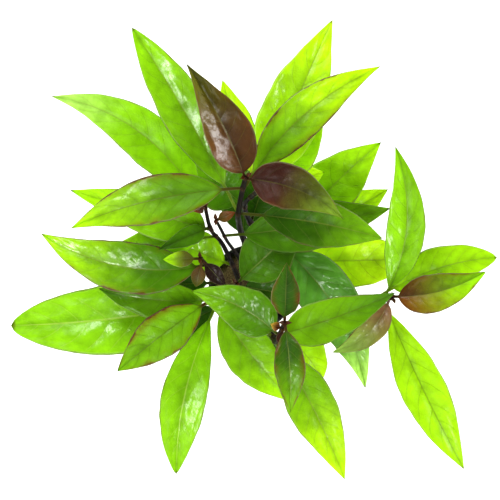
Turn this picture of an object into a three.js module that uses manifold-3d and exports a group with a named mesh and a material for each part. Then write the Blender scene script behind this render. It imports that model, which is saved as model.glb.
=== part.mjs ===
// Potted hygrophila corymbosa: a bunch of leafy stems rooted in mineral wool in a slotted nursery pot.
// Millimetres, +Z up. The origin is the centre of the pot's underside.
import * as THREE from 'three';
import { mergeVertices } from 'three/addons/utils/BufferGeometryUtils.js';
import Module from 'manifold-3d';

const wasm = await Module();
wasm.setup();

// Driving dimensions of the pot
const POT_HEIGHT = 50;
const RIM_RADIUS = 25;
const FOOT_RADIUS = 19;
const POT_WALL = 1.2;
const RIM_BAND = 3.5;
const BODY_RADIUS = 23;
const FLOOR_THICKNESS = 1.6;
const POT_SIDES = 48;
const SLOTS = 12;
const SLOT_WIDTH = 3.6;
const SLOT_LOW = 7;
const SLOT_HIGH = 39;
const SLOT_INNER = 14;
const FOOT_SLOT_INNER = 9;
const FOOT_SLOT_OUTER = 16;

// Driving dimensions of the wool plug and of everything that touches
const GAP = 0.3;
const WOOL_TOP = 47;
const WOOL_SIDES = 36;
const WOOL_EDGE_HEIGHT = 3;
const WOOL_EDGE_WIDTH = 2;
const WOOL_CLEARANCE = 0.4;
const SOCKET_DEPTH = 14;
const SOCKET_CLEARANCE = 0.5;
const SOCKET_OVERSHOOT = 4;

// Driving dimensions of the plant
const STEM_SIDES = 8;
const STEM_STEPS = 14;
const TOP_NARROWING = 0.62;
const LEAF_STATIONS = 10;
const RIB_THICKNESS = 0.9;
const MARGIN_THICKNESS = 0.35;
const PETIOLE_WIDTH = 1.6;
const TIP_WIDTH = 0.5;

// How closely corners are joined, heights are searched and directions are taken
const WELD = 1e-4;
const HALVINGS = 24;
const NUDGE = 0.01;

const GREEN = new THREE.Color(0.27, 0.55, 0.03);
const LIME = new THREE.Color(0.45, 0.72, 0.05);
const DEEP = new THREE.Color(0.12, 0.35, 0.03);
const BRONZE = new THREE.Color(0.2, 0.07, 0.04);
const STEM_PURPLE = new THREE.Color(0.09, 0.04, 0.05);
const POT_BLACK = new THREE.Color(0.03, 0.03, 0.03);
const WOOL_BROWN = new THREE.Color(0.35, 0.27, 0.15);

const plant = new THREE.Group();

function finish(colour, roughness) {
  return new THREE.MeshStandardMaterial({ color: colour, roughness, metalness: 0 });
}

function addPiece(name, geometry, material) {
  const mesh = new THREE.Mesh(geometry, material);
  mesh.name = name;
  plant.add(mesh);
}

// A closed mesh as a solid that can be cut, and back
function toSolid(geometry) {
  const bare = geometry.clone();
  bare.deleteAttribute('normal');
  bare.deleteAttribute('uv');
  const merged = mergeVertices(bare, WELD);
  return new wasm.Manifold(new wasm.Mesh({
    numProp: 3,
    vertProperties: merged.attributes.position.array,
    triVerts: new Uint32Array(merged.index.array),
  }));
}

function toGeometry(solid) {
  const mesh = solid.getMesh();
  const geometry = new THREE.BufferGeometry();
  geometry.setAttribute('position', new THREE.BufferAttribute(mesh.vertProperties, 3));
  geometry.setIndex(new THREE.BufferAttribute(mesh.triVerts, 1));
  return geometry;
}

// Rings of points joined into one closed skin, with a flat end at each side
function skinRings(rings) {
  const sides = rings[0].length;
  const corners = rings.flat();
  const faces = [];
  for (let ring = 0; ring < rings.length - 1; ring++) {
    for (let side = 0; side < sides; side++) {
      const next = (side + 1) % sides;
      const a = ring * sides + side;
      const b = ring * sides + next;
      faces.push(a, b, b + sides, a, b + sides, a + sides);
    }
  }
  const last = (rings.length - 1) * sides;
  for (let side = 1; side < sides - 1; side++) {
    faces.push(0, side + 1, side, last, last + side, last + side + 1);
  }
  const geometry = new THREE.BufferGeometry().setFromPoints(corners);
  geometry.setIndex(faces);
  return geometry;
}

// The radius of the tapered pot at a height
function potRadius(z) {
  return FOOT_RADIUS + (BODY_RADIUS - FOOT_RADIUS) * z / POT_HEIGHT;
}

// The pot: a tapered cup with a rim band, slots down its side and through its floor
function makePot() {
  const band = POT_HEIGHT - RIM_BAND;
  const outline = [
    [0, 0], [FOOT_RADIUS, 0], [potRadius(band), band], [RIM_RADIUS, band],
    [RIM_RADIUS, POT_HEIGHT], [RIM_RADIUS - POT_WALL, POT_HEIGHT],
    [potRadius(band) - POT_WALL, band], [FOOT_RADIUS - POT_WALL, FLOOR_THICKNESS], [0, FLOOR_THICKNESS],
  ];
  const cup = new THREE.LatheGeometry(outline.map(([r, z]) => new THREE.Vector2(r, z)), POT_SIDES);
  let pot = toSolid(cup.rotateX(Math.PI / 2));
  const sideSlot = new THREE.BoxGeometry(BODY_RADIUS, SLOT_WIDTH, SLOT_HIGH - SLOT_LOW);
  const floorSlot = new THREE.BoxGeometry(FOOT_SLOT_OUTER - FOOT_SLOT_INNER, SLOT_WIDTH, FOOT_RADIUS);
  for (let slot = 0; slot < SLOTS; slot++) {
    const turn = (slot + 0.5) * 2 * Math.PI / SLOTS;
    const side = sideSlot.clone().translate(SLOT_INNER + BODY_RADIUS / 2, 0, (SLOT_LOW + SLOT_HIGH) / 2);
    pot = pot.subtract(toSolid(side.rotateZ(turn)));
    if (slot % 2 === 0) {
      const under = floorSlot.clone().translate((FOOT_SLOT_INNER + FOOT_SLOT_OUTER) / 2, 0, 0);
      pot = pot.subtract(toSolid(under.rotateZ(turn)));
    }
  }
  return toGeometry(pot);
}

// Each stem by the points that it passes, from its foot in the wool to its tip
function makeStem(name, { radius, path, leaves, bud = [] }) {
  const curve = new THREE.CatmullRomCurve3(path.map(([x, y, z]) => new THREE.Vector3(x, y, z)));
  return { name, radius, curve, foot: path[0], leaves, bud };
}

// The place, thickness and direction of a stem at a height
function stemAt(stem, z) {
  let low = 0;
  let high = 1;
  for (let halving = 0; halving < HALVINGS; halving++) {
    const middle = (low + high) / 2;
    if (stem.curve.getPoint(middle).z < z) {
      low = middle;
    } else {
      high = middle;
    }
  }
  const centre = stem.curve.getPoint(low);
  return { centre, radius: stemRadius(stem, low), tangent: stem.curve.getTangent(low) };
}

function stemRadius(stem, along) {
  return stem.radius * (1 - (1 - TOP_NARROWING) * along);
}

function stemSolid(stem) {
  const rings = [];
  for (let step = 0; step <= STEM_STEPS; step++) {
    const along = step / STEM_STEPS;
    const centre = stem.curve.getPoint(along);
    const forward = stem.curve.getTangent(along);
    const across = new THREE.Vector3(1, 0, 0).cross(forward).normalize();
    const other = new THREE.Vector3().crossVectors(forward, across);
    const radius = stemRadius(stem, along);
    const ring = [];
    for (let side = 0; side < STEM_SIDES; side++) {
      const turn = side * 2 * Math.PI / STEM_SIDES;
      ring.push(centre.clone()
        .addScaledVector(across, radius * Math.cos(turn))
        .addScaledVector(other, radius * Math.sin(turn)));
    }
    rings.push(ring);
  }
  return skinRings(rings);
}

// The wool plug fills the pot below its rim, with a hole for the foot of each stem
function makeWool(stems) {
  const low = FLOOR_THICKNESS + GAP;
  const inset = POT_WALL + WOOL_CLEARANCE;
  const edge = WOOL_TOP - WOOL_EDGE_HEIGHT;
  const outline = [
    [0, low], [potRadius(low) - inset, low], [potRadius(edge) - inset, edge],
    [potRadius(edge) - inset - WOOL_EDGE_WIDTH, WOOL_TOP], [0, WOOL_TOP],
  ];
  const plug = new THREE.LatheGeometry(outline.map(([r, z]) => new THREE.Vector2(r, z)), WOOL_SIDES);
  let wool = toSolid(plug.rotateX(Math.PI / 2));
  for (const stem of stems) {
    const { centre } = stemAt(stem, WOOL_TOP);
    const [x, y] = stem.foot;
    const slant = new THREE.Vector3(centre.x - x, centre.y - y, SOCKET_DEPTH);
    const length = slant.length() + SOCKET_OVERSHOOT;
    const width = stem.radius + SOCKET_CLEARANCE;
    const socket = new THREE.CylinderGeometry(width, width, length, STEM_SIDES * 2);
    const lean = new THREE.Quaternion().setFromUnitVectors(new THREE.Vector3(0, 1, 0), slant.normalize());
    socket.translate(0, length / 2 - SOCKET_CLEARANCE, 0).applyQuaternion(lean);
    socket.translate(x, y, WOOL_TOP - SOCKET_DEPTH);
    wool = wool.subtract(toSolid(socket));
  }
  return toGeometry(wool);
}

// How wide a lance-shaped blade is, from 0 to 1, a part of the way along it
function bladeShape(along, widest, point) {
  const bend = Math.log(0.5) / Math.log(widest);
  return Math.sin(Math.PI * along ** bend) ** point;
}

// One leaf: a petiole and a folded blade, from its stem at a height to the leaf's tip
function leafSolid(stem, leaf, gap) {
  const { at, tip, width, petiole = 8, widest = 0.42, point = 1 } = leaf;
  const { fold = 14, roll = 0, arch = 4, sway = 0 } = leaf;
  const end = new THREE.Vector3(...tip);
  const { centre, radius, tangent } = stemAt(stem, at);
  const outward = end.clone().sub(centre).setZ(0);
  outward.addScaledVector(tangent, -outward.dot(tangent)).normalize();
  const start = centre.clone().addScaledVector(outward, radius + gap + RIB_THICKNESS / 2);
  const chord = end.clone().sub(start);
  const left = new THREE.Vector3(0, 0, 1).cross(chord).normalize();
  const up = new THREE.Vector3().crossVectors(chord, left).normalize();
  const bow = (t) => 4 * t * (1 - t);
  const middle = (t) => start.clone()
    .addScaledVector(chord, t)
    .addScaledVector(up, arch * bow(t))
    .addScaledVector(left, sway * bow(t));
  const bladeStart = petiole / chord.length();
  const edge = MARGIN_THICKNESS / 2;
  const rib = RIB_THICKNESS / 2;
  const rings = [];
  for (let station = 0; station <= LEAF_STATIONS; station++) {
    const blade = Math.max(station - 1, 0) / (LEAF_STATIONS - 1);
    const t = station === 0 ? 0 : bladeStart + (1 - bladeStart) * blade;
    const bladeWidth = width * bladeShape(blade, widest, point);
    const half = Math.max(bladeWidth, PETIOLE_WIDTH * (1 - blade), TIP_WIDTH) / 2;
    const forward = middle(Math.min(t + NUDGE, 1)).sub(middle(Math.max(t - NUDGE, 0))).normalize();
    const side = new THREE.Vector3(0, 0, 1).cross(forward).normalize();
    const above = new THREE.Vector3().crossVectors(forward, side);
    const place = (across, raise) => middle(t).addScaledVector(side, across).addScaledVector(above, raise);
    const wing = (sign, raise) => {
      const angle = THREE.MathUtils.degToRad(fold + sign * roll);
      return place(sign * half * Math.cos(angle), half * Math.sin(angle) + raise);
    };
    const upper = [wing(1, edge), place(0, rib), wing(-1, edge)];
    const lower = [wing(-1, -edge), place(0, -rib), wing(1, -edge)];
    rings.push([...upper, ...lower]);
  }
  return skinRings(rings);
}

// A stem with the tiny leaves of its bud, which start inside it
function stemWithBud(stem) {
  let solid = toSolid(stemSolid(stem));
  for (const leaf of stem.bud) {
    solid = solid.add(toSolid(leafSolid(stem, leaf, -stem.radius / 2)));
  }
  return toGeometry(solid);
}

// A leaf's colour, the height of its joint, its tip, its full width and how its blade bends
function leaf(colour, at, tip, width, bends) {
  return { colour, at, tip, width, ...bends };
}

// The stems, each by the points that it passes and by its leaves, from its tip down.
// A bud's leaves are a few millimetres long and grow as one piece with their stem.
const plan = {
  tall: {
    radius: 1.9,
    path: [
      [2, 7, 33], [0, 14, 60], [-3, 24, 80], [-6, 32, 100], [-7, 37, 120], [-7, 41, 160],
      [-4.5, 53, 190], [-3, 58, 207],
    ],
    leaves: [
      leaf(BRONZE, 205, [-32, 112, 220], 27, { petiole: 1, widest: 0.31, point: 1.2, fold: 30, roll: 6, sway: -2 }),
      leaf(BRONZE, 205, [45, 37, 203], 23, { petiole: 1, widest: 0.31, point: 1.15, arch: 7, sway: 4 }),
      leaf(GREEN, 190, [-93, 33, 165], 25, { petiole: 8, widest: 0.38, point: 1.1, arch: 7, sway: -4 }),
      leaf(GREEN, 190, [64, 113, 195], 22.5, { petiole: 6, point: 1.1, arch: 5, sway: 7 }),
      leaf(GREEN, 160, [-61, 135, 172], 25, { petiole: 14, widest: 0.46, point: 0.85, sway: -2 }),
      leaf(DEEP, 160, [68, 28, 150], 26, { petiole: 10, arch: 5, sway: 2 }),
    ],
  },
  back: {
    radius: 1.7,
    path: [[5, 12, 33], [4, 27, 75], [-4, 45, 112], [1, 51, 145], [5, 52, 176]],
    leaves: [
      leaf(LIME, 173, [41, 139, 172], 32, { petiole: 6, widest: 0.37, arch: 5, sway: 1 }),
      leaf(LIME, 163, [-15, 108, 177], 19, { petiole: 10, sway: 0.5 }),
      leaf(GREEN, 150, [37, 90, 158], 24, { petiole: 8, sway: -1 }),
      leaf(LIME, 137, [38, 63, 141], 24, { petiole: 4, arch: 3 }),
      leaf(DEEP, 114, [-28, 78, 120], 30, { petiole: 2, widest: 0.36, arch: 3, sway: 3 }),
      leaf(DEEP, 95, [13, 78, 92], 26, { petiole: 2, widest: 0.34, arch: 5 }),
    ],
  },
  middle: {
    radius: 1.7,
    path: [[11, 2, 33], [13, 10, 70], [16, 20, 95], [18, 25, 110]],
    leaves: [
      leaf(GREEN, 107, [69, 79.5, 128], 32, { petiole: 8, sway: 3 }),
      leaf(LIME, 102, [74, 55, 112], 26, { petiole: 8 }),
      leaf(DEEP, 106, [62.5, -54.5, 95], 31, { petiole: 3, widest: 0.32, arch: 10, sway: 7.5 }),
      leaf(LIME, 84, [90, 17, 102], 30, { petiole: 10, widest: 0.5, arch: 5 }),
    ],
  },
  left: {
    radius: 1.4,
    path: [[-7, -2, 33], [-8.5, 8, 75], [-16.5, 26, 105], [-21.5, 32, 117], [-24.5, 45, 151]],
    leaves: [
      leaf(GREEN, 148, [-106, 103, 138], 27, { petiole: 8, widest: 0.34, arch: 8, sway: -12 }),
      leaf(DEEP, 122.5, [-50, 22, 131], 11, { petiole: 2, widest: 0.3, arch: 2 }),
      leaf(GREEN, 119, [-97, 54, 130], 26, { petiole: 2, widest: 0.32, arch: 5 }),
      leaf(GREEN, 112, [-78, 22, 103], 19, { petiole: 6, arch: 5 }),
      leaf(GREEN, 86, [-51, 30, 94], 24, { petiole: 3, arch: 2 }),
    ],
    bud: [
      leaf(BRONZE, 150, [-31, 42, 158], 6, { petiole: 1, arch: 1 }),
    ],
  },
  thin: {
    radius: 1.1,
    path: [[-3, 4, 33], [-5, 10, 60], [-8, 19, 90], [-13.5, 27, 110], [-16.5, 33, 125], [-19, 38, 146]],
    leaves: [
      leaf(DEEP, 116, [73, 44, 140], 28, { petiole: 10, arch: 5, sway: -2 }),
      leaf(DEEP, 64, [-4, 70, 80], 26, { petiole: 20, arch: 3 }),
    ],
    bud: [
      leaf(BRONZE, 144, [-8.3, 41.8, 149], 6, { petiole: 1, arch: 1 }),
    ],
  },
  short: {
    radius: 1.5,
    path: [[-1, -3, 33], [-5, 0, 70], [-8, 3, 98], [-8.3, 4, 112]],
    leaves: [
      leaf(DEEP, 108, [26, 36, 119], 29, { petiole: 2, widest: 0.45, fold: 6, arch: 3 }),
      leaf(DEEP, 90, [24, -3, 95], 21, { petiole: 2, arch: 3 }),
    ],
  },
  young: {
    radius: 1.6,
    path: [[-13, -4, 33], [-16, 2, 70], [-23, 12, 110], [-27.5, 18, 136]],
    leaves: [
      leaf(LIME, 134, [-47, 17, 140], 9, { petiole: 2, arch: 1 }),
      leaf(BRONZE, 134, [-14, 3, 130], 9, { petiole: 2, arch: 1 }),
      leaf(GREEN, 116, [-113, 31, 125], 29, { petiole: 4, widest: 0.4, arch: 6, sway: 9 }),
      leaf(DEEP, 78, [-66, 2, 80], 19, { petiole: 6 }),
    ],
    bud: [
      leaf(BRONZE, 130, [-30, 2, 122], 8, { petiole: 2, arch: 1 }),
    ],
  },
  low: {
    radius: 1.8,
    path: [[-8, -10, 33], [-14, -8, 70], [-19, -6.5, 95], [-21.5, -4, 119]],
    leaves: [
      leaf(GREEN, 118, [-73, -44, 112], 25, { petiole: 5, arch: 6, sway: -1 }),
      leaf(GREEN, 118, [23, -61, 105], 28, { petiole: 6, arch: 5, sway: -2 }),
      leaf(DEEP, 108, [-84, 1, 103], 22, { petiole: 4, widest: 0.38, sway: 3 }),
      leaf(GREEN, 93, [-134, -20, 85], 40, { petiole: 10, point: 0.6, arch: 6, sway: 2.5 }),
      leaf(GREEN, 96, [-42, -103, 85], 26, { petiole: 8, widest: 0.5, point: 0.85, arch: 6, sway: -5.5 }),
      leaf(DEEP, 70, [-58, -29, 64], 18, { petiole: 5 }),
    ],
  },
  front: {
    radius: 1.9,
    path: [[3, -9, 33], [10, -17, 100], [12.5, -25, 155], [16.5, -14, 187]],
    leaves: [
      leaf(BRONZE, 186, [17, 16, 203], 15, { petiole: 2, arch: 2 }),
      leaf(BRONZE, 186, [19, -59, 188], 16, { petiole: 2, sway: 1 }),
      leaf(GREEN, 170, [-31, 1, 168], 24, { petiole: 2, widest: 0.32, sway: -4 }),
      leaf(GREEN, 170, [74, 0, 158], 23, { petiole: 1, widest: 0.3, arch: 5, sway: -1 }),
      leaf(LIME, 150, [49, -99, 140], 26, { petiole: 6, widest: 0.38, arch: 5, sway: 2 }),
      leaf(DEEP, 138, [-12, -4, 130], 20, { petiole: 2, arch: 3 }),
      leaf(LIME, 120, [38, -50, 112], 24, { petiole: 4, widest: 0.36, sway: 4 }),
      leaf(DEEP, 82, [19, -58, 74], 18, { petiole: 6 }),
    ],
    bud: [
      leaf(BRONZE, 180, [14, -26, 178], 5, { petiole: 1, arch: 1 }),
      leaf(BRONZE, 178, [9, -15, 182], 5, { petiole: 1, arch: 1 }),
    ],
  },
  right: {
    radius: 1.9,
    path: [[10, -6, 33], [18, -7, 60], [45, -5, 84], [64, -3.5, 110], [74, -3, 142]],
    leaves: [
      leaf(BRONZE, 140, [122, 11, 150], 21, { petiole: 2, widest: 0.36, sway: -3.5 }),
      leaf(BRONZE, 140, [42, -32, 138], 15, { petiole: 2, widest: 0.34, roll: 10, sway: 5 }),
      leaf(GREEN, 132, [74.5, 76, 150], 21, { petiole: 3, roll: -10, arch: 5, sway: -8 }),
      leaf(LIME, 125, [114, -96, 120], 25, { petiole: 6, widest: 0.48, arch: 5, sway: -1.5 }),
      leaf(LIME, 118, [132, 18, 118], 24, { petiole: 8, point: 0.7, sway: 4.5 }),
    ],
  },
};

const stems = Object.entries(plan).map(([name, stem]) => makeStem(name, stem));
addPiece('pot', makePot(), finish(POT_BLACK, 0.5));
addPiece('growing_medium', makeWool(stems), finish(WOOL_BROWN, 0.95));
for (const stem of stems) {
  addPiece(`${stem.name}_stem`, stemWithBud(stem), finish(STEM_PURPLE, 0.45));
  stem.leaves.forEach((blade, index) => {
    addPiece(`${stem.name}_leaf_${index + 1}`, leafSolid(stem, blade, GAP), finish(blade.colour, 0.35));
  });
}

export default plant;
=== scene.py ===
# %% [markdown]
# # A potted hygrophila corymbosa
# A bushy plant of ten stems stands in a small slotted pot, rooted in mineral wool. Every leaf is
# a lance-shaped blade that follows one rule, so one Geometry Nodes tree grows them all, and only
# the numbers differ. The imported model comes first, because every piece goes where it says.

# %% Load the frame
import math

import bmesh
import bpy
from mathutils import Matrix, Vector


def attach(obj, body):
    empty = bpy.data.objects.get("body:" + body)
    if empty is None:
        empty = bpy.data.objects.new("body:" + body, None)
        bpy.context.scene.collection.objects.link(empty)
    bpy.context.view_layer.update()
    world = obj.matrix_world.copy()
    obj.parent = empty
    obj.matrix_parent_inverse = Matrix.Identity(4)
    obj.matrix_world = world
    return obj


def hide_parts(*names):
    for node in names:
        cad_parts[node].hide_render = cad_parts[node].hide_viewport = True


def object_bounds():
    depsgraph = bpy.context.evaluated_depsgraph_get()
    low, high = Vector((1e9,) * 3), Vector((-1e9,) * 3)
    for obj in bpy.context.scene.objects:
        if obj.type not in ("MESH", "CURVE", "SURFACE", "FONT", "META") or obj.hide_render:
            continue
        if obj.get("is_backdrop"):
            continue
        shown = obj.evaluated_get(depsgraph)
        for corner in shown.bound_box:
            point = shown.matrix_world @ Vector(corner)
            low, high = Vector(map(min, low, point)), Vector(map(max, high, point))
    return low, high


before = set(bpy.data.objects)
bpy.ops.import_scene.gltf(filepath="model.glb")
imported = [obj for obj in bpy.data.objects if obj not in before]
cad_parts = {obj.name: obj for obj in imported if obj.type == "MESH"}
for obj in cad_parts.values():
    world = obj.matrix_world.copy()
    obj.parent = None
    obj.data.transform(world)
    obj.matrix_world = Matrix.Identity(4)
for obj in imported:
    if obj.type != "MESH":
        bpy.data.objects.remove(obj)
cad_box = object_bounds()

MM = 0.001


def put_in_scene(name, data):
    thing = bpy.data.objects.new(name, data)
    bpy.context.scene.collection.objects.link(thing)
    return thing


print("nodes in the frame:", len(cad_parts))


# %% [markdown]
# The picture is taken from straight above, so the camera needs no turn: an unturned camera looks
# down with the picture's top towards +Y. The lens is worked out from the field that a square
# picture shows, which doesn't depend on how many pixels it has.

# %% Set the camera over the plant
CAMERA_PLACE = (-1, 22, 1050)
PICTURE_SIDE = 500
FOCAL_PIXELS = 1731
SENSOR_WIDTH = 36

camera = put_in_scene("camera", bpy.data.cameras.new("camera"))
camera.data.sensor_width = SENSOR_WIDTH
camera.data.lens = SENSOR_WIDTH * FOCAL_PIXELS / PICTURE_SIDE
camera.location = Vector(CAMERA_PLACE) * MM
bpy.context.scene.camera = camera
print("lens in mm:", round(camera.data.lens, 1))


# %% [markdown]
# Node trees are easier to read as sums. This small class wraps a socket, so that an expression
# such as `1 - mask * 0.4` adds its Math nodes by itself. A number that meets a vector becomes
# Vector Math, because a Math node would keep only one number of it. `Nodes` has the one method
# that adds any other node: its settings first, then what goes into its sockets.

# %% A socket that can be summed
def operator(name, swapped=False):
    def combine(wire, other):
        pair = (other, wire) if swapped else (wire, other)
        return wire.nodes.sum(name, *pair)
    return combine


class Wire:
    def __init__(self, nodes, socket):
        self.nodes = nodes
        self.socket = socket

    def is_vector(self):
        return self.socket.type in ("VECTOR", "RGBA")

    def __abs__(self):
        return self.nodes.sum("ABSOLUTE", self)

    __add__ = __radd__ = operator("ADD")
    __sub__ = operator("SUBTRACT")
    __rsub__ = operator("SUBTRACT", swapped=True)
    __mul__ = __rmul__ = operator("MULTIPLY")
    __truediv__ = operator("DIVIDE")
    __pow__ = operator("POWER")


print("sockets can be summed")

# %% The one method that adds a node, and short names for the commonest
FIRST_COLOUR = 6
SECOND_COLOUR = 7
MIXED_COLOUR = 2


class Nodes:
    def __init__(self, tree):
        self.tree = tree

    def node(self, kind, settings=None, inputs=None):
        node = self.tree.nodes.new(kind)
        for name, value in (settings or {}).items():
            setattr(node, name, value)
        for name, value in (inputs or {}).items():
            self.join(value, node.inputs[name])
        return node

    def join(self, value, socket):
        if isinstance(value, Wire):
            self.tree.links.new(value.socket, socket)
        else:
            socket.default_value = value

    def out(self, kind, settings=None, inputs=None, output=0):
        return Wire(self, self.node(kind, settings, inputs).outputs[output])

    def sum(self, operation, *values):
        wires = [value for value in values if isinstance(value, Wire)]
        if not any(wire.is_vector() for wire in wires):
            return self.out("ShaderNodeMath", {"operation": operation}, dict(enumerate(values)))
        first, second = values
        if operation == "MULTIPLY" and not (isinstance(second, Wire) and second.is_vector()):
            return self.vector("SCALE", {0: first, "Scale": second})
        return self.vector(operation, {0: first, 1: second})

    def vector(self, operation, inputs, output=0):
        return self.out("ShaderNodeVectorMath", {"operation": operation}, inputs, output)

    def mix(self, share, first, second):
        inputs = {"Factor": share, FIRST_COLOUR: first, SECOND_COLOUR: second}
        return self.out("ShaderNodeMix", {"data_type": "RGBA"}, inputs, MIXED_COLOUR)

    def ease(self, value, start, end):
        settings = {"interpolation_type": "SMOOTHSTEP"}
        inputs = {"Value": value, "From Min": start, "From Max": end}
        return self.out("ShaderNodeMapRange", settings, inputs)

    def own_place(self):
        return self.out("ShaderNodeTexCoord", {}, {}, "Object")

    def square_to(self, first, second):
        return self.vector("CROSS_PRODUCT", {0: first, 1: second})

    def unit(self, vector):
        return self.vector("NORMALIZE", {0: vector})

    def part(self, vector, axis):
        return self.out("ShaderNodeSeparateXYZ", {}, {0: vector}, "XYZ".index(axis))

    def noise(self, place, scale, detail, roughness=0.5):
        inputs = {"Vector": place, "Scale": scale, "Detail": detail, "Roughness": roughness}
        return self.out("ShaderNodeTexNoise", {}, inputs)

    def cells(self, place, scale):
        settings = {"feature": "DISTANCE_TO_EDGE"}
        return self.out("ShaderNodeTexVoronoi", settings, {"Vector": place, "Scale": scale})

    def bump(self, height, strength, distance):
        inputs = {"Height": height, "Strength": strength, "Distance": distance}
        return self.out("ShaderNodeBump", {}, inputs)

    def store(self, geometry, name, value):
        inputs = {"Geometry": geometry, "Name": name, "Value": value}
        return self.out("GeometryNodeStoreNamedAttribute", {"data_type": "FLOAT"}, inputs)

    def smooth(self, geometry):
        return self.out("GeometryNodeSetShadeSmooth", {}, {"Geometry": geometry})


print("nodes can be added")


# %% [markdown]
# A tree's sizes are its named inputs. `new_tree` makes the tree with them, and `grow` puts the
# tree on an object, sets each input by its identifier, and keeps the plain mesh that comes out.
# The modifier goes with the helper object, so the finished piece has none.

# %% Trees with named sizes
SOCKETS = {float: "NodeSocketFloat", int: "NodeSocketInt", tuple: "NodeSocketVector"}


def add_socket(tree, name, way, kind):
    return tree.interface.new_socket(name=name, in_out=way, socket_type=kind)


def new_tree(name, sizes, takes_shape=False):
    tree = bpy.data.node_groups.new(name, "GeometryNodeTree")
    add_socket(tree, "Geometry", "OUTPUT", "NodeSocketGeometry")
    if takes_shape:
        add_socket(tree, "Geometry", "INPUT", "NodeSocketGeometry")
    for size, value in sizes.items():
        add_socket(tree, size, "INPUT", SOCKETS[type(value)]).default_value = value
    add_socket(tree, "Finish", "INPUT", "NodeSocketMaterial")
    nodes = Nodes(tree)
    entry = nodes.node("NodeGroupInput")
    return nodes, {socket.name: Wire(nodes, socket) for socket in entry.outputs if socket.name}


def end_tree(nodes, geometry, finish):
    whole = nodes.out("GeometryNodeRealizeInstances", {}, {0: geometry})
    painted = nodes.out("GeometryNodeSetMaterial", {}, {"Geometry": whole, "Material": finish})
    nodes.node("NodeGroupOutput", {}, {"Geometry": painted})
    return nodes.tree


def keep_shape(helper, name):
    shape = helper.evaluated_get(bpy.context.evaluated_depsgraph_get())
    mesh = bpy.data.meshes.new_from_object(shape)
    bpy.data.objects.remove(helper)
    mesh.name = name
    return put_in_scene(name, mesh)


def grow(name, tree, sizes, finish, start=None):
    helper = put_in_scene("helper", start or bpy.data.meshes.new("helper"))
    modifier = helper.modifiers.new("tree", "NODES")
    modifier.node_group = tree
    values = {**sizes, "Finish": finish}
    for item in tree.interface.items_tree:
        if item.in_out == "INPUT" and item.name in values:
            modifier[item.identifier] = values[item.name]
    return keep_shape(helper, name)


print("trees can be grown")


# %% [markdown]
# A leaf is a petiole that widens into a blade along one bowed line, its midrib. The tree starts
# from a grid: one way runs from petiole to tip, the other goes round the section, over the upper
# face and back under the lower one. The width follows a sine that is pushed towards the petiole,
# the two halves fold up along the midrib, and the skin between the side veins is puckered up, as
# a healthy leaf's is. At both ends the section shrinks to a point and its corners are merged, so
# the leaf is closed. The places along and across the blade are kept as attributes, for the veins
# in the finish.

# %% The leaf's sizes, in millimetres and degrees
LEAF_SIZES = {
    "Start": (0.0, 0.0, 0.0), "Tip": (80.0, 0.0, 10.0), "Width": 24.0, "Petiole": 8.0,
    "Widest": 0.42, "Point": 1.0, "Fold": 14.0, "Roll": 0.0, "Arch": 4.0, "Sway": 0.0,
    "Tuck": 1.6, "Vein pairs": 8.0, "Pucker": 0.2, "Wave": 0.5, "Buckle": 2.0, "Seed": 0.0,
    "Rings": 120,
}
print("a leaf has", len(LEAF_SIZES), "sizes")

# %% The midrib's bowed line
def leaf_line(nodes, size, share):
    chord = size["Tip"] - size["Start"]
    left = nodes.unit(nodes.square_to((0, 0, 1), chord))
    up = nodes.unit(nodes.square_to(chord, left))
    bend = up * size["Arch"] + left * size["Sway"]
    place = size["Start"] + chord * share + bend * (4 * share * (1 - share))
    forward = nodes.unit(chord + bend * (4 - 8 * share))
    across = nodes.unit(nodes.square_to((0, 0, 1), forward))
    return place, across, nodes.square_to(forward, across)


print("a midrib can be followed")

# %% Where the side veins run, and the puckered cells between them
QUILT_CELL = 3.4
VEIN_LEAN = 0.17
VEIN_CURVE = 1.3
VEIN_DRIFT = 1.1
SIDE_SHIFT = 0.21
SEED_STRIDE = 9


def leaf_noise(nodes, size, along, across, scale):
    spot = nodes.out("ShaderNodeCombineXYZ", {}, {
        0: along * 3, 1: across, 2: size["Seed"] * SEED_STRIDE,
    })
    return nodes.noise(spot, scale, 1.0) - 0.5


def vein_count(nodes, size, along, across):
    side = nodes.sum("SIGN", across)
    lean = along - VEIN_LEAN * abs(across) ** VEIN_CURVE
    drift = leaf_noise(nodes, size, along, side, 1.3) * VEIN_DRIFT
    return size["Vein pairs"] * lean + side * SIDE_SHIFT + size["Seed"] + drift


def leaf_quilt(nodes, size, along, across, half, length):
    spot = nodes.out("ShaderNodeCombineXYZ", {}, {
        0: along * length / QUILT_CELL, 1: across * half / QUILT_CELL, 2: size["Seed"] * SEED_STRIDE,
    })
    return nodes.ease(nodes.cells(spot, 1.0), 0.0, 0.4)


print("veins per leaf, if nothing else is said:", LEAF_SIZES["Vein pairs"])

# %% How far the blade rises from its midrib, and how thick it is
CROWN = 0.09
PUCKER_CURVE = 0.7
FOLD_SOFTNESS = 0.003
FOLD_SOFT_ROOT = 0.0548
WAVES = 5.3
SIDE_WAVE = 0.4
SEED_WAVE = 2.7
BUCKLE_SCALE = 1.6
PETIOLE_DEPTH = 0.65
SKIN_HALF = 0.16
RIB_HALF = 0.5


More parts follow.
